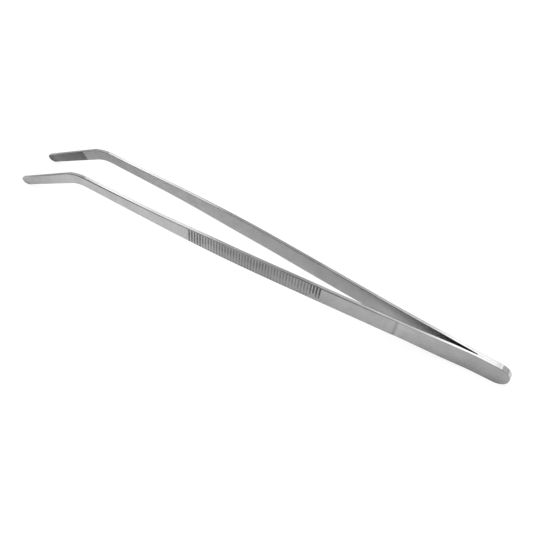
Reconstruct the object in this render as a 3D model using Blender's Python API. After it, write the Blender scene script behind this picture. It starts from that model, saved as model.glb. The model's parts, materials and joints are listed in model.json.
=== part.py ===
"""Long bent-tip aquascaping tweezers.

Two sprung stainless strips are welded together at the tail. Each strip bows outwards from the
weld, carries cross grooves on its outer face for the fingers, and turns down at the front to a
serrated gripping tip. The pair stands on its tail and its two tips, like a shallow arch.

A strip is measured by its station: the distance along its centre line from the tail end.
Units are metres, +Z up, the tips point to -X and the near strip lies on the -Y side.
"""
from math import atan2, cos, pi, sin, sqrt

import bmesh
import bpy
from mathutils import Matrix, Vector

# Overall strip
STRIP_LENGTH = 0.2708
TAIL_ROUND_LENGTH = 0.0056
TIP_ROUND_LENGTH = 0.0027
TAIL_ROUND_STEPS = 9
TIP_ROUND_STEPS = 8
# (station, width) and (station, thickness)
WIDTHS = ((0.0, 0.0107), (0.025, 0.0114), (0.050, 0.0103), (0.090, 0.0103),
          (0.135, 0.0099), (0.180, 0.0073), (0.225, 0.0057), (0.2708, 0.0047))
THICKNESSES = ((0.0, 0.00142), (0.0512, 0.00142), (0.0528, 0.00152), (0.2708, 0.00170))

# Side bow of each strip: (station, distance of the inner face from the middle plane)
BOWS = ((0.017, 0.0), (0.035, 0.00136), (0.060, 0.00298), (0.095, 0.00528),
        (0.135, 0.00769), (0.180, 0.00914), (0.225, 0.0094), (0.2708, 0.0096))
BOW_BEND_HALF = 0.0040

# Downward bend of the tip
BEND_START = 0.2172
BEND_RADIUS = 0.0209
BEND_ANGLE = 0.561

# The tip's end is cut on a slant: its upper corner reaches further, in proportion to the height
TIP_LEAN = 0.35
TIP_LEAN_LENGTH = 0.0080

# Weld between the two tail ends
WELD_END = 0.0130
WELD_THICKNESS = 0.0004
JOIN_CLEARANCE = 0.0003

# The sprung zone bends about one line in its middle
FLEX_STATION = 0.0340

# Chamfer along the outer face's upper edge: (down the face, into the thickness)
LEAST_CHAMFER = (0.00012, 0.00012)
ARM_CHAMFER = (0.00050, 0.00025)
CHAMFER_FROM = 0.0512
CHAMFER_FULL = 0.0528
CHAMFER_FADE_FROM = 0.2172
CHAMFER_FADE_END = 0.2289

# Finger grooves across the outer face
GROOVE_COUNT = 46
GROOVE_FIRST = 0.1561
GROOVE_PITCH = 0.001508
GROOVE_HALF_WIDTH = 0.00042
GROOVE_DEPTH = 0.00018
END_GROOVE_DEPTH = 0.00022
END_GROOVES_FRONT = 5
END_GROOVES_BACK = 4

# Serrations across the inner face of the tip
SERRATION_START = 0.2375
SERRATION_END = 0.2685
SERRATION_PITCH = 0.0010
SERRATION_HALF_WIDTH = 0.00035
SERRATION_DEPTH = 0.00018

# Spacing of the plain cross cuts
PLAIN_STEP = 0.0120
CORNER_SHARE = 0.25

NEAR, FAR = -1, 1


def between(table, station):
    """Straight-line value between the rows of a (station, value) table."""
    for (low, value_low), (high, value_high) in zip(table, table[1:]):
        if station <= high:
            share = max(0.0, (station - low) / (high - low))
            return value_low + (value_high - value_low) * share
    return table[-1][1]


def knot_slopes(table):
    """Slope at each row that keeps a smooth curve from overshooting."""
    runs = [(b[1] - a[1]) / (b[0] - a[0]) for a, b in zip(table, table[1:])]
    slopes = [runs[0]]
    for before, after in zip(runs, runs[1:]):
        turning = before * after <= 0.0
        slopes.append(0.0 if turning else 2.0 * before * after / (before + after))
    return slopes + [runs[-1]]


def smooth_between(table, slopes, station):
    """Smooth value through the rows of a (station, value) table."""
    row = 0
    while row < len(table) - 2 and station > table[row + 1][0]:
        row += 1
    (low, value_low), (high, value_high) = table[row], table[row + 1]
    run = high - low
    t = min(1.0, max(0.0, (station - low) / run))
    return (value_low * (1 + 2 * t) * (1 - t) ** 2 + value_high * t * t * (3 - 2 * t)
            + slopes[row] * run * t * (1 - t) ** 2 + slopes[row + 1] * run * t * t * (t - 1))


WIDTH_SLOPES = knot_slopes(WIDTHS)
BOW_SLOPES = knot_slopes(BOWS)


def half_width(station):
    """Half the strip's width, with its two elliptical ends."""
    half = smooth_between(WIDTHS, WIDTH_SLOPES, station) / 2
    for to_end, length in ((station, TAIL_ROUND_LENGTH), (STRIP_LENGTH - station, TIP_ROUND_LENGTH)):
        if to_end < length:
            inset = 1.0 - to_end / length
            half *= sqrt(max(0.0, 1.0 - inset * inset))
    return half


def bow(station):
    """Distance of the strip's inner face from the middle plane, before the weld's clearance."""
    run = station - BOWS[0][0]
    if run < -BOW_BEND_HALF:
        return 0.0
    if run < BOW_BEND_HALF:
        return BOW_SLOPES[0] * (run + BOW_BEND_HALF) ** 2 / (4 * BOW_BEND_HALF)
    return smooth_between(BOWS, BOW_SLOPES, station)


def chamfer(station):
    """Reach and drop of the chamfer: full from the step to the tip's bend, and small elsewhere."""
    rise = (station - CHAMFER_FROM) / (CHAMFER_FULL - CHAMFER_FROM)
    fade = (CHAMFER_FADE_END - station) / (CHAMFER_FADE_END - CHAMFER_FADE_FROM)
    share = min(1.0, max(0.0, min(rise, fade)))
    return [low + (high - low) * share for low, high in zip(LEAST_CHAMFER, ARM_CHAMFER)]


def centre_line(station):
    """Point (x, z) of the centre line and how far it has turned down, in the strip's own plane."""
    turned = min(BEND_ANGLE, max(0.0, (station - BEND_START) / BEND_RADIUS))
    straight = min(station, BEND_START)
    beyond = max(0.0, station - BEND_START - BEND_RADIUS * BEND_ANGLE)
    x = -straight - BEND_RADIUS * sin(turned) - beyond * cos(turned)
    z = -BEND_RADIUS * (1.0 - cos(turned)) - beyond * sin(turned)
    return x, z, turned


def side_point(station, across):
    """Point (x, z) of the strip's own plane at a station, across from the centre line."""
    slanted = (station - STRIP_LENGTH + TIP_LEAN_LENGTH) / (TIP_LEAN_LENGTH - TIP_ROUND_LENGTH)
    lean = TIP_LEAN * across * min(1.0, max(0.0, slanted))
    x, z, turned = centre_line(station + lean)
    return x - sin(turned) * across, z + cos(turned) * across


def groove_centres():
    """(station, depth) of each finger groove; the first and last few are cut deeper."""
    grooves = []
    for number in range(GROOVE_COUNT):
        at_end = number < END_GROOVES_FRONT or number >= GROOVE_COUNT - END_GROOVES_BACK
        depth = END_GROOVE_DEPTH if at_end else GROOVE_DEPTH
        grooves.append((GROOVE_FIRST - number * GROOVE_PITCH, depth))
    return grooves


def serration_centres():
    """(station, depth) of each serration on the gripping face."""
    count = int((SERRATION_END - SERRATION_START) / SERRATION_PITCH)
    first = SERRATION_START + SERRATION_HALF_WIDTH
    return [(first + number * SERRATION_PITCH, SERRATION_DEPTH) for number in range(count)]


def rounded_end_cuts():
    """Stations of the cuts round the two elliptical ends, from the tail's first to the tip's last."""
    tail = [TAIL_ROUND_LENGTH * (1 - cos(pi / 2 * step / TAIL_ROUND_STEPS))
            for step in range(1, TAIL_ROUND_STEPS + 1)]
    tip = [STRIP_LENGTH - TIP_ROUND_LENGTH * (1 - cos(pi / 2 * step / TIP_ROUND_STEPS))
           for step in range(TIP_ROUND_STEPS, 0, -1)]
    return tail + tip


def cross_cuts(start, end):
    """Stations between start and end at which the strip changes shape."""
    cuts = {start, end}
    steps = int((end - start) / PLAIN_STEP)
    cuts.update(start + (end - start) * step / (steps + 1) for step in range(1, steps + 1))
    cuts.update(BOWS[0][0] + BOW_BEND_HALF * share for share in (-1.0, -0.5, 0.0, 0.5, 1.0))
    cuts.update((WELD_END, CHAMFER_FROM, CHAMFER_FULL))
    cuts.update(BEND_START + BEND_RADIUS * BEND_ANGLE * step / 6 for step in range(7))
    cuts.update(rounded_end_cuts())
    dips = [(centre, GROOVE_HALF_WIDTH) for centre, depth in groove_centres()]
    dips += [(centre, SERRATION_HALF_WIDTH) for centre, depth in serration_centres()]
    for centre, half in dips:
        cuts = {cut for cut in cuts if abs(cut - centre) > 1.6 * half or cut in (start, end)}
        cuts.update((centre - half, centre, centre + half))
    kept = []
    for cut in sorted(cut for cut in cuts if start <= cut <= end):
        if not kept or cut - kept[-1] > 0.00006:
            kept.append(cut)
    return kept


def dips_at(cuts, centres):
    """Depth of the cut at each station: full at a dip's centre and nothing elsewhere."""
    depths = {}
    for centre, depth in centres:
        depths.update({cut: depth for cut in cuts if abs(cut - centre) < 1e-7})
    return depths


def cross_cut_bar(name, cuts, place, with_chamfer):
    """A bar cut across at every station and shaped by place(station, depth, height).

    depth runs from 0 on the inner face to 1 on the outer one, and height from 0 on the lower
    edge to 1 on the upper one. A chamfered bar has its outer upper edge cut off, and the two new
    edges lie CORNER_SHARE short of 1.
    """
    bm = bmesh.new()
    bmesh.ops.create_cube(bm, size=1.0, matrix=Matrix.Translation((0.5, 0.5, 0.5)))
    length = len(cuts) - 1
    bmesh.ops.scale(bm, vec=(length, 1.0, 1.0), verts=bm.verts)
    if with_chamfer:
        corner = [edge for edge in bm.edges if all(v.co.y > 0.9 and v.co.z > 0.9 for v in edge.verts)]
        bmesh.ops.bevel(bm, geom=corner, offset=CORNER_SHARE, segments=1, affect='EDGES')
    for index in range(1, length):
        everything = bm.verts[:] + bm.edges[:] + bm.faces[:]
        bmesh.ops.bisect_plane(bm, geom=everything, plane_co=(index, 0.0, 0.0), plane_no=(1.0, 0.0, 0.0))
    for vert in bm.verts:
        vert.co = place(cuts[round(vert.co.x)], vert.co.y, vert.co.z)
    if bm.calc_volume(signed=True) < 0.0:
        bmesh.ops.reverse_faces(bm, faces=bm.faces)
    mesh = bpy.data.meshes.new(name)
    bm.to_mesh(mesh)
    bm.free()
    return mesh


def strip_mesh(name, side, start, end, origin):
    """One stretch of a strip, from one station to another, about its own origin."""
    cuts = cross_cuts(start, end)
    grooves = dips_at(cuts, groove_centres())
    serrations = dips_at(cuts, serration_centres())
    least_inner = WELD_THICKNESS / 2 + JOIN_CLEARANCE

    def place(station, depth, height):
        half = half_width(station)
        reach, drop = chamfer(station)
        groove = grooves.get(station, 0.0)
        bevel_foot = half - min(reach * (1.0 - groove / drop), 0.5 * half)
        inner = max(bow(station), least_inner) + serrations.get(station, 0.0)
        outer = bow(station) + between(THICKNESSES, station)
        across = {0.0: -half, 1.0: half}.get(round(height, 3), bevel_foot)
        away = {0.0: inner, 1.0: outer - groove}.get(round(depth, 3), outer - drop)
        x, z = side_point(station, across)
        return Vector((x, side * away, z)) - origin

    return cross_cut_bar(name, cuts, place, True)


def weld_mesh(name):
    """The fused layer between the two tail ends, with their rounded outline."""
    cuts = cross_cuts(rounded_end_cuts()[0], WELD_END)

    def place(station, depth, height):
        return Vector((-station, (depth - 0.5) * WELD_THICKNESS, (2 * height - 1) * half_width(station)))

    return cross_cut_bar(name, cuts, place, False)


def steel(name, colour, roughness):
    """A satin steel material."""
    material = bpy.data.materials.new(name)
    material.use_nodes = True
    shader = material.node_tree.nodes["Principled BSDF"]
    shader.inputs["Base Color"].default_value = (*colour, 1.0)
    shader.inputs["Metallic"].default_value = 1.0
    shader.inputs["Roughness"].default_value = roughness
    return material


def add_piece(collection, parent, mesh, material):
    """A named piece, parented at its own origin."""
    mesh.materials.append(material)
    piece = bpy.data.objects.new(mesh.name, mesh)
    collection.objects.link(piece)
    piece.parent = parent
    return piece


def add_empty(collection, name, parent, location):
    """A named empty that holds pieces."""
    empty = bpy.data.objects.new(name, None)
    empty.empty_display_size = 0.01
    empty.location = location
    empty.parent = parent
    collection.objects.link(empty)
    return empty


def resting_rise():
    """Angle by which the arms rise from the tail when tail and tips stand on one level."""
    stations = [STRIP_LENGTH * step / 2700 for step in range(2701)]
    outline = [side_point(station, -half_width(station)) for station in stations]
    rise = 0.0
    for _ in range(6):
        level = [(x * cos(rise) + z * sin(rise), z * cos(rise) - x * sin(rise)) for x, z in outline]
        tail = min(level[:1350], key=lambda point: point[1])
        tip = min(level[1350:], key=lambda point: point[1])
        rise += atan2(tail[1] - tip[1], tail[0] - tip[0])
    return rise


def flex_axis(side):
    """Middle of the strip's section at its flex line."""
    away = bow(FLEX_STATION) + between(THICKNESSES, FLEX_STATION) / 2
    return Vector((-FLEX_STATION, side * away, 0.0))


def seat_on_floor(stance, pieces):
    """Move the whole object so that it stands at z = 0 with its box centred on the origin."""
    turn = stance.rotation_euler.to_matrix()
    corners = []
    for piece in pieces:
        shift = piece.parent.location if piece.parent is not stance else Vector()
        corners += [turn @ (vert.co + shift) for vert in piece.data.vertices]
    low = [min(corner[axis] for corner in corners) for axis in range(3)]
    high = [max(corner[axis] for corner in corners) for axis in range(3)]
    stance.location = (-(low[0] + high[0]) / 2, -(low[1] + high[1]) / 2, -low[2])


def build():
    """All the pieces of the tweezers."""
    for old in list(bpy.data.objects):
        bpy.data.objects.remove(old, do_unlink=True)
    collection = bpy.data.collections.new("aquascaping_tweezers")
    bpy.context.scene.collection.children.link(collection)
    strip_steel = steel("satin_stainless", (0.62, 0.62, 0.63), 0.32)
    weld_steel = steel("ground_weld", (0.70, 0.70, 0.70), 0.25)

    stance = add_empty(collection, "stance", None, (0.0, 0.0, 0.0))
    stance.rotation_euler = (0.0, resting_rise(), 0.0)
    ends = rounded_end_cuts()
    gap = JOIN_CLEARANCE / 2
    pieces = []
    for side, word in ((NEAR, "near"), (FAR, "far")):
        leaf = strip_mesh(word + "_tail_leaf", side, ends[0], FLEX_STATION - gap, Vector())
        pieces.append(add_piece(collection, stance, leaf, strip_steel))
        axis = flex_axis(side)
        hinge = add_empty(collection, word + "_flex_axis", stance, axis)
        arm = strip_mesh(word + "_arm", side, FLEX_STATION + gap, ends[-1], axis)
        pieces.append(add_piece(collection, hinge, arm, strip_steel))
    pieces.append(add_piece(collection, stance, weld_mesh("tail_weld"), weld_steel))
    seat_on_floor(stance, pieces)


build()
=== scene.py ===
"""Looks for the long bent-tip aquascaping tweezers.

Each strip is one continuous piece of satin stainless steel, lofted ring by ring along its centre
line, with its finger grooves, its chamfer and its serrated tip cut into the mesh. A strip is
measured by its station, the distance along its centre line from the tail end. Units are metres.
"""
import json
from math import atan2, cos, pi, radians, sin, sqrt, tan

import bmesh
import bpy
from mathutils import Matrix, Vector


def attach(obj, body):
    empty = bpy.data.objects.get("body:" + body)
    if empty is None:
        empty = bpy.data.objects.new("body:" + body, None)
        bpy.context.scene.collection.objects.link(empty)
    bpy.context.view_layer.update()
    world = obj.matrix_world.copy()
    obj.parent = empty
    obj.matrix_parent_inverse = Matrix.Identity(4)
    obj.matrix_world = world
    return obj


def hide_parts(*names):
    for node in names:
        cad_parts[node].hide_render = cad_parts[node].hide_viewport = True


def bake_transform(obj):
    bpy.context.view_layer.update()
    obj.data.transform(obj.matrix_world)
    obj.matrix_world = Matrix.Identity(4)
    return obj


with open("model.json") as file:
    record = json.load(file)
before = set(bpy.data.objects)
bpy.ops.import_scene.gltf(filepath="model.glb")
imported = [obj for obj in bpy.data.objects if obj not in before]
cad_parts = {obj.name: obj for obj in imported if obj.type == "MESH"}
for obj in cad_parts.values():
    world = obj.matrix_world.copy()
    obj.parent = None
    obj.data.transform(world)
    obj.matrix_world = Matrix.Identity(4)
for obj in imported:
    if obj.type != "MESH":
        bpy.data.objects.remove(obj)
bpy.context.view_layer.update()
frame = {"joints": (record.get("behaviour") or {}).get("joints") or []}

# The strip, as in the part
STRIP_LENGTH = 0.2708
TAIL_ROUND_LENGTH = 0.0056
TIP_ROUND_LENGTH = 0.0027
WIDTHS = ((0.0, 0.0107), (0.025, 0.0114), (0.050, 0.0103), (0.090, 0.0103),
          (0.135, 0.0099), (0.180, 0.0073), (0.225, 0.0057), (0.2708, 0.0047))
THICKNESSES = ((0.0, 0.00142), (0.0512, 0.00142), (0.0528, 0.00152), (0.2708, 0.00170))
BOWS = ((0.017, 0.0), (0.035, 0.00136), (0.060, 0.00298), (0.095, 0.00528),
        (0.135, 0.00769), (0.180, 0.00914), (0.225, 0.0094), (0.2708, 0.0096))
BOW_BEND_HALF = 0.0040
BEND_START = 0.2172
BEND_RADIUS = 0.0209
BEND_ANGLE = 0.561
TIP_LEAN = 0.35
TIP_LEAN_LENGTH = 0.0080
FLEX_STATION = 0.0340
STEP_FROM = 0.0512
STEP_FULL = 0.0528
CHAMFER_FADE_END = 0.2289

# The weld seam between the tail ends, and the relief ground into the inner faces beside it
WELD_END = 0.0164
SEAM_HALF = 0.00004
WELD_OVERLAP = 0.00008
WELD_PROUD = 0.00001
RELIEF_DEPTH = 0.00016
RELIEF_MIDDLE = 0.0170
RELIEF_HALF_LENGTH = 0.0100

# Finger grooves: they are deepest at the upper edge and run out towards the lower one
GROOVE_COUNT = 46
GROOVE_FIRST = 0.1561
GROOVE_PITCH = 0.001508
GROOVE_HALF_WIDTH = 0.00042
GROOVE_DEPTH = 0.00020
END_GROOVE_DEPTH = 0.00034
END_GROOVES_FRONT = 5
END_GROOVES_BACK = 4
GROOVE_LOW_SHARE = 0.45
BACK_GROOVES_END = 0.0936
BACK_GROOVE_REACH = 0.85
GROOVE_FINISH_DEPTH = 0.00005
GROOVE_SHAPE = ((-1.0, 0.0), (-0.62, 0.42), (-0.22, 0.95), (0.22, 0.95), (0.62, 0.42), (1.0, 0.0))

# Serrations of the gripping face
PAD_START = 0.2375
PAD_END = 0.2704
SERRATION_PITCH = 0.00075
SERRATION_DEPTH = 0.00022
SERRATION_SHAPE = ((0.0, 0.0), (0.2, 0.0), (0.56, 0.95), (0.64, 0.95), (1.0, 0.0))

NEAR, FAR = -1, 1

# Corners of each strip's section: (reach along the face, drop down the edge, softness of the arrises)
CHAMFERS = {NEAR: (0.00048, 0.00026, 0.00003), FAR: (0.00048, 0.00026, 0.00015)}
OUTER_CORNERS = {NEAR: (0.00012, 0.00012, 0.00003), FAR: (0.00006, 0.00017, 0.00004)}
INNER_CORNERS = {NEAR: (0.00006, 0.00015, 0.00004), FAR: (0.00018, 0.00010, 0.00003)}
LOWER_CORNER = (0.00012, 0.00012, 0.00008)
# Beside the weld the inner corners keep only this share of their size, and they open over this length
SEAM_SHARE = 0.03
SEAM_FADE = 0.0030
# Corners keep their full size down to this half width, and shrink with it at the two round ends
FULL_CORNER_HALF = 0.0012
# A softened arris has a middle row, and a supporting row beside it on the flat
ARRIS_MIDDLE = 0.25
SUPPORT = 0.00006
FACE_CROWN = 0.00005
EDGE_CROWN = 0.00003
# A groove runs out over the chamfer, this many times as fast as the chamfer drops
CUT_RUN_OUT = 1.6
# Where the surface turns by more degrees than this, its shading breaks
SHARP_ANGLE = 28.0

# Cells across each face, spacing of the rings, and how many rings shape each feature
FACE_CELLS = 8
PLAIN_STEP = 0.0012
LEAST_STEP = 0.00004
PAD_LEAD = 0.0001
TAIL_ROUND_RINGS = 18
TIP_ROUND_RINGS = 16
BEND_RINGS = 22
STEP_RINGS = 6
RELIEF_RINGS = 12
WELD_RINGS = 16

# The points of a ring: each edge with its two corners takes RIM of them, and then comes a face
RIM = 17
CORNER_ROWS = 6
UPPER_FIRST = FACE_CELLS - 1
INNER_FIRST = UPPER_FIRST + RIM
LOWER_FIRST = INNER_FIRST + FACE_CELLS - 1
RING = LOWER_FIRST + RIM

# The finishes of a strip, in the order of its material slots
OUTER, CHAMFERED, EDGE, INNER, PAD, GROOVE = range(6)

# Scale of the brushing along and across the strip and of the cloudy wear, and the stretch of the
# noise over which the colour and the roughness change
FINE_STREAKS = (140.0, 6500.0, 1.0)
BROAD_STREAKS = (30.0, 1100.0, 1.0)
CLOUDS = (150.0, 150.0, 150.0)
COLOUR_SPAN = (0.36, 0.64)
GLOSS_SPAN = (0.3, 0.7)

# Greys that multiply each finish's colour, as (station, grey) stops. They are painted light: painted
# highlights, painted reflections and painted shade for the light and dark stretches that a studio's
# surroundings would mirror in the steel, and a darker line at the step.
FACE_PAINTED_LIGHT = ((0.0, 0.98), (0.030, 1.08), (0.044, 1.16), (0.0508, 1.26), (0.0513, 1.24), (0.0516, 0.74),
             (0.0521, 0.84), (0.0530, 1.16), (0.070, 1.10), (0.086, 1.06), (0.089, 0.95), (0.100, 0.92),
             (0.114, 0.82), (0.138, 0.88), (0.148, 1.14), (0.158, 1.30), (0.220, 1.30), (0.238, 1.22),
             (0.2705, 1.0))
CORNER_PAINTED_LIGHT = ((0.0, 1.0), (0.012, 1.0), (0.022, 1.5), (0.048, 1.5), (0.053, 1.35), (0.062, 1.0),
               (0.076, 0.70), (0.088, 0.58), (0.102, 0.60), (0.112, 1.05), (0.145, 1.0), (0.160, 1.3),
               (0.178, 1.3), (0.192, 0.75), (0.222, 0.95), (0.228, 0.7), (0.250, 0.8), (0.260, 1.4),
               (0.264, 2.2), (0.2705, 2.2))
EDGE_PAINTED_LIGHT = ((0.0, 0.74), (0.0018, 0.78), (0.0025, 1.3), (0.0049, 1.45), (0.0056, 0.88), (0.0067, 0.80),
             (0.0085, 1.06), (0.026, 1.20), (0.034, 0.98), (0.048, 0.70), (0.055, 0.78), (0.062, 1.15),
             (0.072, 1.28), (0.088, 1.45), (0.095, 1.05), (0.132, 1.08), (0.145, 0.80), (0.160, 0.92),
             (0.176, 0.80), (0.192, 1.06), (0.206, 1.13), (0.216, 0.84), (0.2182, 0.90), (0.2205, 1.45),
             (0.2255, 1.30), (0.2280, 0.55), (0.2300, 0.32), (0.2335, 0.20), (0.258, 0.22), (0.2705, 0.44))
INNER_PAINTED_LIGHT = ((0.0, 1.4), (0.056, 1.36), (0.075, 1.08), (0.100, 1.0), (0.180, 1.0), (0.208, 0.86),
              (0.2705, 0.86))
PAD_PAINTED_LIGHT = ((PAD_START, 0.84), (0.256, 1.02), (0.264, 1.2), (PAD_END, 1.4))
# Painted shade in the grooves along the strip, darkest in the back grooves
GROOVE_PAINTED_LIGHT = ((0.086, 0.42), (0.0925, 0.48), (0.0938, 1.25), (0.100, 1.2), (0.120, 1.0),
               (0.136, 1.05), (0.148, 1.1), (0.150, 0.96), (0.157, 0.92))
# The grooves' painted shade also changes with the distance below the upper edge, as (distance, grey) stops:
# darker near the upper edge, where they are deepest
GROOVE_PAINTED_SHADE_FALL = ((0.0, 0.80), (0.004, 0.84), (0.008, 1.2))

# Studio: the floor, the top light, the panels behind (azimuths, elevations, radiance) and the room.
# To the camera the floor is mixed with this share of an even glow.
FLOOR_HALF = 4.0
FLOOR_DROP = -0.0001
FLOOR_LIFT = 0.85
FLOOR_GLOW = 1.05
OVERHEAD_HEIGHT = 1.0
OVERHEAD_SIZE = 0.8
OVERHEAD_RADIANCE = 5.0
PANEL_DISTANCE = 0.9
PANELS = {"back_right": ((8.0, 37.0), (40.0, 60.0), 1.0),
          "back_left": ((-53.0, -33.0), (36.0, 57.0), 1.05)}
# The room's grey changes over this span of a direction's Y
ROOM_SPAN = (-0.35, 0.25)
ROOM_BEFORE = 0.20
ROOM_BEHIND = 0.46

CAMERA_AZIMUTH = 30.584
CAMERA_ELEVATION = 50.442
CAMERA_DISTANCE = 0.33721
CAMERA_AIM = Vector((0.010945, 0.00452, 0.0))
CAMERA_LENS = 46.738


def between(table, station):
    """Straight-line value between the rows of a (station, value) table."""
    for (low, value_low), (high, value_high) in zip(table, table[1:]):
        if station <= high:
            share = max(0.0, (station - low) / (high - low))
            return value_low + (value_high - value_low) * share
    return table[-1][1]


def knot_slopes(table):
    """Slope at each row that keeps a smooth curve from overshooting."""
    runs = [(b[1] - a[1]) / (b[0] - a[0]) for a, b in zip(table, table[1:])]
    slopes = [runs[0]]
    for before, after in zip(runs, runs[1:]):
        turning = before * after <= 0.0
        slopes.append(0.0 if turning else 2.0 * before * after / (before + after))
    return slopes + [runs[-1]]


def smooth_between(table, slopes, station):
    """Smooth value through the rows of a (station, value) table."""
    row = 0
    while row < len(table) - 2 and station > table[row + 1][0]:
        row += 1
    (low, value_low), (high, value_high) = table[row], table[row + 1]
    run = high - low
    t = min(1.0, max(0.0, (station - low) / run))
    return (value_low * (1 + 2 * t) * (1 - t) ** 2 + value_high * t * t * (3 - 2 * t)
            + slopes[row] * run * t * (1 - t) ** 2 + slopes[row + 1] * run * t * t * (t - 1))


WIDTH_SLOPES = knot_slopes(WIDTHS)
BOW_SLOPES = knot_slopes(BOWS)


def outline(station):
    """Half width at a station, and the outward direction (along, across) of the upper edge there."""
    half = smooth_between(WIDTHS, WIDTH_SLOPES, station) / 2
    for to_end, length, sense in ((station, TAIL_ROUND_LENGTH, -1),
                                  (STRIP_LENGTH - station, TIP_ROUND_LENGTH, 1)):
        if to_end < length:
            inset = 1.0 - to_end / length
            height = sqrt(max(0.0, 1.0 - inset * inset))
            return half * height, Vector((sense * inset / length, height / half)).normalized()
    return half, Vector((0.0, 1.0))


def bow(station):
    """Distance of the strip's inner face from the middle plane."""
    run = station - BOWS[0][0]
    if run < -BOW_BEND_HALF:
        return 0.0
    if run < BOW_BEND_HALF:
        return BOW_SLOPES[0] * (run + BOW_BEND_HALF) ** 2 / (4 * BOW_BEND_HALF)
    return smooth_between(BOWS, BOW_SLOPES, station)


def inner_face(station):
    """Distance of the strip's inner face from the middle plane, with the relief beside the weld."""
    run = (station - RELIEF_MIDDLE) / RELIEF_HALF_LENGTH
    relief = RELIEF_DEPTH * (1 - run * run) ** 2 if abs(run) < 1.0 else 0.0
    return max(bow(station) + relief, SEAM_HALF)


def centre_line(station):
    """Point (x, z) of the centre line and how far it has turned down, in the strip's own plane."""
    turned = min(BEND_ANGLE, max(0.0, (station - BEND_START) / BEND_RADIUS))
    straight = min(station, BEND_START)
    beyond = max(0.0, station - BEND_START - BEND_RADIUS * BEND_ANGLE)
    x = -straight - BEND_RADIUS * sin(turned) - beyond * cos(turned)
    z = -BEND_RADIUS * (1.0 - cos(turned)) - beyond * sin(turned)
    return x, z, turned


def find_stance():
    """Turns and moves a point of the strips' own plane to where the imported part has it."""
    joint = next(j for j in frame["joints"] if j["name"] == "far_arm_flex")
    up = Vector(joint["axis"]).normalized()
    turn = Matrix.Rotation(atan2(up.x, up.z), 4, "Y")
    away = bow(FLEX_STATION) + between(THICKNESSES, FLEX_STATION) / 2
    flex = Vector((-FLEX_STATION, away, 0.0))
    return Matrix.Translation(Vector(joint["pos_m"]) - turn @ flex) @ turn


STANCE = find_stance()


def in_place(station, across, away):
    """The point of the part at a station, across the strip and away from the middle plane."""
    slanted = (station - STRIP_LENGTH + TIP_LEAN_LENGTH) / (TIP_LEAN_LENGTH - TIP_ROUND_LENGTH)
    lean = TIP_LEAN * across * min(1.0, max(0.0, slanted))
    x, z, turned = centre_line(station + lean)
    return STANCE @ Vector((x - sin(turned) * across, away, z + cos(turned) * across))


def groove_rows():
    """(station of the centre, depth) of each finger groove; no two are cut quite alike."""
    rows = []
    for number in range(GROOVE_COUNT):
        at_end = number < END_GROOVES_FRONT or number >= GROOVE_COUNT - END_GROOVES_BACK
        depth = END_GROOVE_DEPTH if at_end else GROOVE_DEPTH
        wander = 0.86 + 0.14 * sin(2.3 * number) * sin(0.9 * number + 1.0)
        rows.append((GROOVE_FIRST - number * GROOVE_PITCH, depth * wander))
    return rows


def end_stations():
    """Stations of the rings round the two elliptical ends."""
    tail = [TAIL_ROUND_LENGTH * (1 - cos(pi / 2 * step / TAIL_ROUND_RINGS))
            for step in range(2, TAIL_ROUND_RINGS + 1)]
    tip = [STRIP_LENGTH - TIP_ROUND_LENGTH * (1 - cos(pi / 2 * step / TIP_ROUND_RINGS))
           for step in range(2, TIP_ROUND_RINGS + 1)]
    return tail + tip


def plain_stations():
    """Stations of the rings that shape the strip between its ends."""
    ends = end_stations()
    first, last = min(ends), max(ends)
    count = int((last - first) / PLAIN_STEP)
    stations = [first + (last - first) * step / count for step in range(count + 1)]
    stations += [BEND_START + BEND_RADIUS * BEND_ANGLE * step / BEND_RINGS
                 for step in range(BEND_RINGS + 1)]
    stations += [STEP_FROM + (STEP_FULL - STEP_FROM) * step / STEP_RINGS
                 for step in range(STEP_RINGS + 1)]
    stations += [RELIEF_MIDDLE + RELIEF_HALF_LENGTH * step / RELIEF_RINGS
                 for step in range(-RELIEF_RINGS, RELIEF_RINGS + 1)]
    return stations + [PAD_START - PAD_LEAD]


def serration_depth(station):
    """Depth of the serrations at a station; they cover the pad only."""
    if not PAD_START <= station <= PAD_END:
        return 0.0
    return SERRATION_DEPTH * between(SERRATION_SHAPE, (station - PAD_START) / SERRATION_PITCH % 1.0)


def ring_stations():
    """(station, groove depth, serration depth) of every ring of a strip."""
    grooves = groove_rows()
    grip_low = grooves[-1][0] - GROOVE_PITCH / 2
    grip_high = grooves[0][0] + GROOVE_PITCH / 2
    rings = {}
    for station in end_stations():
        rings[station] = (0.0, serration_depth(station))
    for station in plain_stations():
        if not grip_low < station < grip_high and not PAD_START <= station <= PAD_END:
            rings[station] = (0.0, 0.0)
    for centre, depth in grooves:
        rings[centre + GROOVE_PITCH / 2] = (0.0, 0.0)
        for share, part in GROOVE_SHAPE:
            rings[centre + share * GROOVE_HALF_WIDTH] = (depth * part, 0.0)
    for number in range(int((PAD_END - PAD_START) / SERRATION_PITCH)):
        for share, part in SERRATION_SHAPE:
            rings[PAD_START + (number + share) * SERRATION_PITCH] = (0.0, SERRATION_DEPTH * part)
    kept = []
    for station in sorted(rings):
        if not kept or station - kept[-1] > LEAST_STEP:
            kept.append(station)
    return [(station, *rings[station]) for station in kept]


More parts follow.
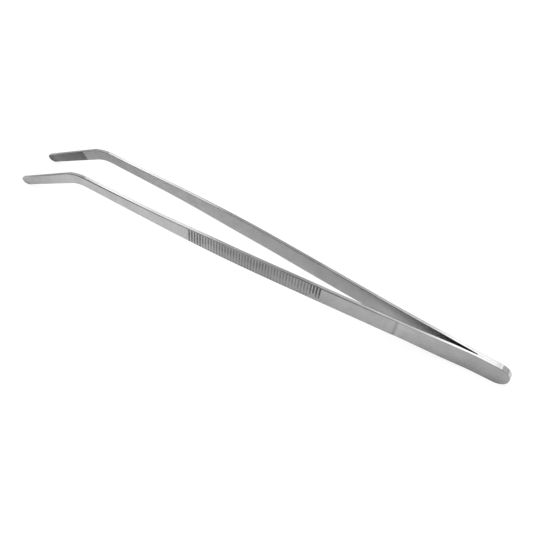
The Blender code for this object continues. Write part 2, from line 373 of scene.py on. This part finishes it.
def corner_rows(corner, room):
    """(inset, drop) pairs round a chamfered corner with softened arrises, from face to edge."""
    reach, drop, soft = (size * min(1.0, room) for size in corner)
    slant = Vector((-reach, drop)).normalized()
    on_face, on_edge = Vector((reach, 0.0)), Vector((0.0, drop))
    face_way, edge_way = Vector((1.0, 0.0)), Vector((0.0, 1.0))
    spread = SUPPORT * min(1.0, room)
    return [on_face + face_way * (soft + spread),
            on_face + face_way * soft,
            on_face + (face_way + slant) * soft * ARRIS_MIDDLE,
            on_face + slant * soft,
            on_edge - slant * soft,
            on_edge + (edge_way - slant) * soft * ARRIS_MIDDLE,
            on_edge + edge_way * soft,
            on_edge + edge_way * (soft + spread)]


def mixed(low, high, share):
    """A corner between two others."""
    return tuple(a + (b - a) * share for a, b in zip(low, high))


def chamfer_share(station):
    """1 where the chamfer is full, from the step to the tip's bend, and 0 elsewhere."""
    rise = (station - STEP_FROM) / (STEP_FULL - STEP_FROM)
    fade = (CHAMFER_FADE_END - station) / (CHAMFER_FADE_END - BEND_START)
    share = min(1.0, max(0.0, min(rise, fade)))
    return share * share * (3 - 2 * share)


def groove_depth(station, groove, height):
    """Depth of a finger groove between the lower edge (height 0) and the upper one (height 1)."""
    if station < BACK_GROOVES_END:
        return groove * max(0.0, 1 - (1 - height) / BACK_GROOVE_REACH)
    return groove * (GROOVE_LOW_SHARE + (1 - GROOVE_LOW_SHARE) * height)


def ring(station, groove, serration, side):
    """The points of one closed ring round the strip.

    It starts above the outer lower corner and runs up the outer face, over the upper edge, down
    the inner face and back under the lower edge.
    """
    half, normal = outline(station)
    room = half / FULL_CORNER_HALF
    upper = mixed(OUTER_CORNERS[side], CHAMFERS[side], chamfer_share(station))
    chamfer = corner_rows(upper, room)
    lower = corner_rows(LOWER_CORNER, room)
    opened = min(1.0, max(SEAM_SHARE, (station - WELD_END) / SEAM_FADE))
    inner = corner_rows(mixed((0.0, 0.0, 0.0), INNER_CORNERS[side], opened), room)
    inner_at = inner_face(station)
    outer_at = bow(station) + between(THICKNESSES, station)
    widest = WIDTHS[1][1] / 2

    def point(inset, across, away):
        return in_place(station - normal.x * inset, across, side * away)

    def outer_point(inset, across, fall):
        height = 0.5 + 0.5 * across / max(half, 0.0001)
        runs_out = max(0.0, 1 - CUT_RUN_OUT * fall / upper[1])
        cut = groove_depth(station, groove, height) * runs_out
        crown = FACE_CROWN * (across / widest) ** 2
        return point(inset, across, outer_at - max(fall, cut, crown))

    def inner_point(inset, across, fall):
        return point(inset, across, inner_at + max(fall, serration))

    def over_edge(outer_corner, sense):
        rows = [outer_point(inset, sense * (half - normal.y * inset), fall) for inset, fall in outer_corner]
        swell = -EDGE_CROWN * min(1.0, room)
        middle = (outer_at + inner_at) / 2
        rows.append(point(swell, sense * (half - normal.y * swell), middle))
        rows += [inner_point(inset, sense * (half - normal.y * inset), fall)
                 for inset, fall in reversed(inner)]
        return rows

    def across_face(low_inset, high_inset, place):
        rows = []
        for cell in range(1, FACE_CELLS):
            share = cell / FACE_CELLS
            low = -(half - normal.y * low_inset)
            high = half - normal.y * high_inset
            inset = low_inset + (high_inset - low_inset) * share
            rows.append(place(inset, low + (high - low) * share, 0.0))
        return rows

    points = across_face(lower[0].x, chamfer[0].x, outer_point)
    points += over_edge(chamfer, 1)
    points += reversed(across_face(inner[0].x, inner[0].x, inner_point))
    points += reversed(over_edge(lower, -1))
    return points


def finish_of(index, station, groove):
    """The finish of the cell that starts at a point of the ring."""
    from_lower = RING - 1 - index
    over = index - UPPER_FIRST
    row = over if over < RIM else from_lower - 1
    if 1 <= row < CORNER_ROWS or RIM - 1 - CORNER_ROWS <= row < RIM - 2:
        return CHAMFERED
    if over <= 0 or from_lower <= 1:
        height = (index + 1.5) / FACE_CELLS if over <= 0 else 0.5 / FACE_CELLS
        grooved = groove_depth(station, groove, height) > GROOVE_FINISH_DEPTH
        return GROOVE if grooved else OUTER
    if RIM - 2 <= over <= LOWER_FIRST - UPPER_FIRST:
        return PAD if PAD_START <= station < PAD_END else INNER
    return EDGE


def loft_strip(name, side, materials):
    """The whole strip as one closed mesh."""
    stations = ring_stations()
    rings = [ring(*row, side) for row in stations]
    points = [point for row in rings for point in row]
    turns = []
    for row in rings:
        walked = [0.0]
        for index in range(RING):
            walked.append(walked[-1] + (row[(index + 1) % RING] - row[index]).length)
        turns.append([distance - walked[UPPER_FIRST] for distance in walked])
    faces, finishes, grain = [], [], []
    for i in range(len(stations) - 1):
        station, next_station = stations[i][0], stations[i + 1][0]
        groove = max(stations[i][1], stations[i + 1][1])
        for j in range(RING):
            k = (j + 1) % RING
            faces.append((i * RING + j, i * RING + k, (i + 1) * RING + k, (i + 1) * RING + j))
            finishes.append(finish_of(j, (station + next_station) / 2, groove))
            grain.append(((station, turns[i][j]), (station, turns[i][j + 1]),
                          (next_station, turns[i + 1][j + 1]), (next_station, turns[i + 1][j])))
    for i, flip in ((0, True), (len(stations) - 1, False)):
        for face, finish in end_faces(i * RING):
            faces.append(face[::-1] if flip else face)
            finishes.append(finish)
            grain.append(tuple((points[index].z, points[index].y) for index in faces[-1]))
    return finish_mesh(name, points, faces, finishes, grain, materials)


def end_faces(base):
    """The faces that close an end, from the outer face round to the inner one."""
    upper = [base + UPPER_FIRST + step for step in range(RIM)]
    lower = [base + RING - 1 - step for step in range(RIM)]
    outer = [base + index for index in range(UPPER_FIRST)]
    inner = [base + index for index in range(INNER_FIRST, LOWER_FIRST)]
    yield (lower[1], lower[0], *outer, upper[0], upper[1]), OUTER
    for step in range(1, RIM - 2):
        yield (lower[step + 1], lower[step], upper[step], upper[step + 1]), EDGE
    yield (upper[-2], upper[-1], *inner, lower[-1], lower[-2]), INNER


def finish_mesh(name, points, faces, finishes, grain, materials):
    """An object with its finishes, its grain coordinates and its shading, faces outwards."""
    mesh = bpy.data.meshes.new(name)
    mesh.from_pydata(points, [], faces)
    for material in materials:
        mesh.materials.append(material)
    layer = mesh.uv_layers.new(name="grain")
    for polygon, finish, corners in zip(mesh.polygons, finishes, grain):
        polygon.material_index = finish
        for loop, corner in zip(polygon.loop_indices, corners):
            layer.data[loop].uv = corner
    bm = bmesh.new()
    bm.from_mesh(mesh)
    if bm.calc_volume(signed=True) < 0.0:
        bmesh.ops.reverse_faces(bm, faces=bm.faces)
    bm.to_mesh(mesh)
    bm.free()
    mesh.shade_smooth()
    mesh.set_sharp_from_angle(angle=radians(SHARP_ANGLE))
    piece = bpy.data.objects.new(name, mesh)
    bpy.context.scene.collection.objects.link(piece)
    return piece


def loft_weld(material):
    """The fused seam: it fills the gap between the tail ends and is ground flush with their edges."""
    stations = [station for station in end_stations() if station < TAIL_ROUND_LENGTH]
    stations += [TAIL_ROUND_LENGTH + (WELD_END - TAIL_ROUND_LENGTH) * step / WELD_RINGS
                 for step in range(WELD_RINGS + 1)]
    shares = (-1.0, -0.5, 0.0, 0.5, 1.0)
    points = []
    for station in stations:
        half = outline(station)[0] + WELD_PROUD
        thick = inner_face(station) + WELD_OVERLAP
        for sense in (1, -1):
            for share in shares:
                points.append(in_place(station - WELD_PROUD, sense * half, share * sense * thick))
    count = 2 * len(shares)
    faces = []
    for i in range(len(stations) - 1):
        for j in range(count):
            k = (j + 1) % count
            faces.append((i * count + j, i * count + k, (i + 1) * count + k, (i + 1) * count + j))
    faces.append(tuple(range(count))[::-1])
    faces.append(tuple(range((len(stations) - 1) * count, len(stations) * count)))
    grain = [tuple((-points[index].x, points[index].y) for index in face) for face in faces]
    return finish_mesh("weld_seam", points, faces, [0] * len(faces), grain, [material])


def add_noise(nodes, links, source, scale, detail, roughness):
    """A noise texture whose coordinates are stretched by scale."""
    stretch = nodes.new("ShaderNodeMapping")
    stretch.inputs["Scale"].default_value = scale
    links.new(source, stretch.inputs["Vector"])
    noise = nodes.new("ShaderNodeTexNoise")
    noise.inputs["Scale"].default_value = 1.0
    noise.inputs["Detail"].default_value = detail
    noise.inputs["Roughness"].default_value = roughness
    links.new(stretch.outputs["Vector"], noise.inputs["Vector"])
    return noise.outputs["Fac"]


def add_math(nodes, links, operation, first, second):
    """One arithmetic step; each operand is a socket or a number."""
    step = nodes.new("ShaderNodeMath")
    step.operation = operation
    for socket, operand in zip(step.inputs, (first, second)):
        if isinstance(operand, (int, float)):
            socket.default_value = operand
        else:
            links.new(operand, socket)
    return step.outputs["Value"]


def add_ramp(nodes, links, source, stops):
    """A ramp through (position, grey) stops."""
    ramp = nodes.new("ShaderNodeValToRGB")
    elements = ramp.color_ramp.elements
    while len(elements) < len(stops):
        elements.new(0.5)
    for element, (position, grey) in zip(elements, stops):
        element.position = position
        element.color = (grey, grey, grey, 1.0)
    links.new(source, ramp.inputs["Fac"])
    return ramp.outputs["Color"]


def add_range(nodes, links, source, span, result):
    """A value taken from one range of numbers to another."""
    remap = nodes.new("ShaderNodeMapRange")
    remap.inputs["From Min"].default_value = span[0]
    remap.inputs["From Max"].default_value = span[1]
    remap.inputs["To Min"].default_value = result[0]
    remap.inputs["To Max"].default_value = result[1]
    links.new(source, remap.inputs["Value"])
    return remap.outputs["Result"]


def add_painted_light(nodes, links, colour, share, stops):
    """The colour multiplied by a grey that follows share through (share, grey) stops; this paints light and
    shade into the colour.
    """
    product = nodes.new("ShaderNodeMix")
    product.data_type = "RGBA"
    product.blend_type = "MULTIPLY"
    product.inputs["Factor"].default_value = 1.0
    links.new(colour, product.inputs["A"])
    links.new(add_ramp(nodes, links, share, stops), product.inputs["B"])
    return product.outputs["Result"]


def steel(name, tones, roughness, along=(), down=(), grain_share=0.5, bump=0.000004):
    """Brushed steel from procedural noise.

    tones are its darkest and lightest grey, and roughness its lowest and highest value. along
    holds the (station, grey) stops of painted reflections and painted shade that follow the strip, and
    down those of painted shade that follows the distance below the upper edge; both multiply the
    rest. grain_share is how much of the variation is lengthwise streaks; the rest is cloudy wear.
    """
    material = bpy.data.materials.new(name)
    material.use_nodes = True
    nodes, links = material.node_tree.nodes, material.node_tree.links
    shader = nodes["Principled BSDF"]
    shader.inputs["Metallic"].default_value = 1.0
    grain = nodes.new("ShaderNodeUVMap")
    grain.uv_map = "grain"
    place = nodes.new("ShaderNodeTexCoord")
    fine = add_noise(nodes, links, grain.outputs["UV"], FINE_STREAKS, 5.0, 0.6)
    broad = add_noise(nodes, links, grain.outputs["UV"], BROAD_STREAKS, 3.0, 0.5)
    cloud = add_noise(nodes, links, place.outputs["Object"], CLOUDS, 4.0, 0.6)
    streaks = add_math(nodes, links, "MULTIPLY", add_math(nodes, links, "ADD", fine, broad), 0.5)
    mix = add_math(nodes, links, "ADD",
                   add_math(nodes, links, "MULTIPLY", streaks, grain_share),
                   add_math(nodes, links, "MULTIPLY", cloud, 1.0 - grain_share))
    colour = add_ramp(nodes, links, mix, tuple(zip(COLOUR_SPAN, tones)))
    split = nodes.new("ShaderNodeSeparateXYZ")
    links.new(grain.outputs["UV"], split.inputs["Vector"])
    # Painted reflections and painted shade along the strip, and painted shade down from the upper edge,
    # multiply the colour
    if along:
        share = add_math(nodes, links, "DIVIDE", split.outputs["X"], STRIP_LENGTH)
        colour = add_painted_light(nodes, links, colour, share, [(at / STRIP_LENGTH, grey) for at, grey in along])
    if down:
        share = add_math(nodes, links, "DIVIDE", split.outputs["Y"], -WIDTHS[0][1])
        colour = add_painted_light(nodes, links, colour, share, [(at / WIDTHS[0][1], grey) for at, grey in down])
    links.new(colour, shader.inputs["Base Color"])
    links.new(add_range(nodes, links, mix, GLOSS_SPAN, roughness), shader.inputs["Roughness"])
    relief = nodes.new("ShaderNodeBump")
    relief.inputs["Strength"].default_value = 0.5
    relief.inputs["Distance"].default_value = bump
    links.new(fine, relief.inputs["Height"])
    links.new(relief.outputs["Normal"], shader.inputs["Normal"])
    return material


def strip_materials():
    """The finishes of a strip, in the order of its material slots. Their tone tables hold painted
    reflections and painted shade, and the grooves' and the grip's darker greys are painted shade.
    """
    return [steel("outer_satin", (0.30, 0.38), (0.24, 0.34), FACE_PAINTED_LIGHT),
            steel("corner_ground", (0.26, 0.34), (0.24, 0.34), CORNER_PAINTED_LIGHT),
            steel("edge_polished", (0.60, 0.68), (0.13, 0.20), EDGE_PAINTED_LIGHT),
            steel("inner_satin", (0.32, 0.40), (0.26, 0.36), INNER_PAINTED_LIGHT),
            # The grip's dark grey is painted shade of its serrations
            steel("grip_serrated_painted_shade", (0.21, 0.27), (0.42, 0.55), PAD_PAINTED_LIGHT, grain_share=0.3),
            # The grooves' dark grey and their tones are painted shade in the recesses
            steel("groove_cut_painted_shade", (0.15, 0.26), (0.34, 0.46), GROOVE_PAINTED_LIGHT, GROOVE_PAINTED_SHADE_FALL)]


def add_floor():
    """The pale matt surface that the tweezers stand on; the camera sees its shadows softened."""
    corners = [(sx * FLOOR_HALF, sy * FLOOR_HALF, FLOOR_DROP)
               for sx, sy in ((-1, -1), (1, -1), (1, 1), (-1, 1))]
    mesh = bpy.data.meshes.new("floor")
    mesh.from_pydata(corners, [], [(0, 1, 2, 3)])
    material = bpy.data.materials.new("pale_floor")
    material.use_nodes = True
    nodes, links = material.node_tree.nodes, material.node_tree.links
    shader = nodes["Principled BSDF"]
    shader.inputs["Roughness"].default_value = 0.9
    shader.inputs["Specular IOR Level"].default_value = 0.1
    place = nodes.new("ShaderNodeTexCoord")
    mottle = add_noise(nodes, links, place.outputs["Object"], (4.0, 4.0, 4.0), 3.0, 0.5)
    links.new(add_ramp(nodes, links, mottle, ((0.3, 0.91), (0.7, 0.93))), shader.inputs["Base Color"])
    lift = nodes.new("ShaderNodeEmission")
    lift.inputs["Strength"].default_value = FLOOR_GLOW
    path = nodes.new("ShaderNodeLightPath")
    share = add_math(nodes, links, "MULTIPLY", path.outputs["Is Camera Ray"], FLOOR_LIFT)
    mix = nodes.new("ShaderNodeMixShader")
    links.new(share, mix.inputs["Fac"])
    links.new(shader.outputs["BSDF"], mix.inputs[1])
    links.new(lift.outputs["Emission"], mix.inputs[2])
    links.new(mix.outputs["Shader"], nodes["Material Output"].inputs["Surface"])
    mesh.materials.append(material)
    floor = bpy.data.objects.new("floor", mesh)
    bpy.context.scene.collection.objects.link(floor)


def direction(azimuth, elevation):
    """Unit vector: azimuth 0 is +Y and turns towards +X, elevation is above the horizon."""
    a, e = radians(azimuth), radians(elevation)
    return Vector((sin(a) * cos(e), cos(a) * cos(e), sin(e)))


def add_panel(name, azimuths, elevations, radiance):
    """A soft light panel that covers a range of azimuth and elevation, and faces the object."""
    azimuth, elevation = sum(azimuths) / 2, sum(elevations) / 2
    lamp = bpy.data.lights.new(name, "AREA")
    lamp.shape = "RECTANGLE"
    wide = tan(radians(azimuths[1] - azimuths[0]) / 2)
    high = tan(radians(elevations[1] - elevations[0]) / 2)
    lamp.size = 2 * PANEL_DISTANCE * wide * cos(radians(elevation))
    lamp.size_y = 2 * PANEL_DISTANCE * high
    lamp.energy = radiance * pi * lamp.size * lamp.size_y
    light = bpy.data.objects.new(name, lamp)
    place = direction(azimuth, elevation)
    light.location = place * PANEL_DISTANCE
    light.rotation_euler = place.to_track_quat("Z", "Y").to_euler()
    light.visible_camera = False
    bpy.context.scene.collection.objects.link(light)


def add_overhead():
    """The big soft light straight above. It lights the floor, and doesn't show in the steel."""
    lamp = bpy.data.lights.new("overhead", "AREA")
    lamp.shape = "SQUARE"
    lamp.size = OVERHEAD_SIZE
    lamp.energy = OVERHEAD_RADIANCE * pi * OVERHEAD_SIZE * OVERHEAD_SIZE
    light = bpy.data.objects.new("overhead", lamp)
    light.location = (0.0, 0.0, OVERHEAD_HEIGHT)
    light.visible_camera = False
    light.visible_glossy = False
    bpy.context.scene.collection.objects.link(light)


def add_world():
    """A dim room, lighter behind the object than before it; the camera itself sees a white backdrop."""
    world = bpy.data.worlds.new("studio")
    bpy.context.scene.world = world
    world.use_nodes = True
    nodes, links = world.node_tree.nodes, world.node_tree.links
    place = nodes.new("ShaderNodeTexCoord")
    split = nodes.new("ShaderNodeSeparateXYZ")
    links.new(place.outputs["Generated"], split.inputs["Vector"])
    room = nodes["Background"]
    grey = add_range(nodes, links, split.outputs["Y"], ROOM_SPAN, (ROOM_BEFORE, ROOM_BEHIND))
    links.new(grey, room.inputs["Color"])
    white = nodes.new("ShaderNodeBackground")
    white.inputs["Color"].default_value = (1.0, 1.0, 1.0, 1.0)
    path = nodes.new("ShaderNodeLightPath")
    mix = nodes.new("ShaderNodeMixShader")
    links.new(path.outputs["Is Camera Ray"], mix.inputs["Fac"])
    links.new(room.outputs["Background"], mix.inputs[1])
    links.new(white.outputs["Background"], mix.inputs[2])
    links.new(mix.outputs["Shader"], nodes["World Output"].inputs["Surface"])


def add_lights():
    """Studio light: a soft top light, two panels behind for the polished edges, and a dim room."""
    add_overhead()
    for name, (azimuths, elevations, radiance) in PANELS.items():
        add_panel(name, azimuths, elevations, radiance)
    add_world()


def add_camera():
    """The camera, on the near side over the tail."""
    a, e = radians(CAMERA_AZIMUTH), radians(CAMERA_ELEVATION)
    back = Vector((sin(a) * cos(e), -cos(a) * cos(e), sin(e)))
    data = bpy.data.cameras.new("camera")
    data.sensor_width = 36.0
    data.lens = CAMERA_LENS
    data.clip_start = 0.01
    camera = bpy.data.objects.new("camera", data)
    camera.location = CAMERA_AIM + back * CAMERA_DISTANCE
    camera.rotation_euler = back.to_track_quat("Z", "Y").to_euler()
    bpy.context.scene.collection.objects.link(camera)
    bpy.context.scene.camera = camera


def build():
    """The pieces, the stage and the light."""
    materials = strip_materials()
    for side, word in ((NEAR, "near"), (FAR, "far")):
        strip = loft_strip(word + "_strip", side, materials)
        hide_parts(word + "_tail_leaf", word + "_arm")
        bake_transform(strip)
    weld = loft_weld(steel("weld_ground", (0.58, 0.66), (0.13, 0.20)))
    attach(weld, "tail")
    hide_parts("tail_weld")
    add_floor()
    add_lights()
    add_camera()
    bpy.context.scene.view_settings.view_transform = "Standard"


build()
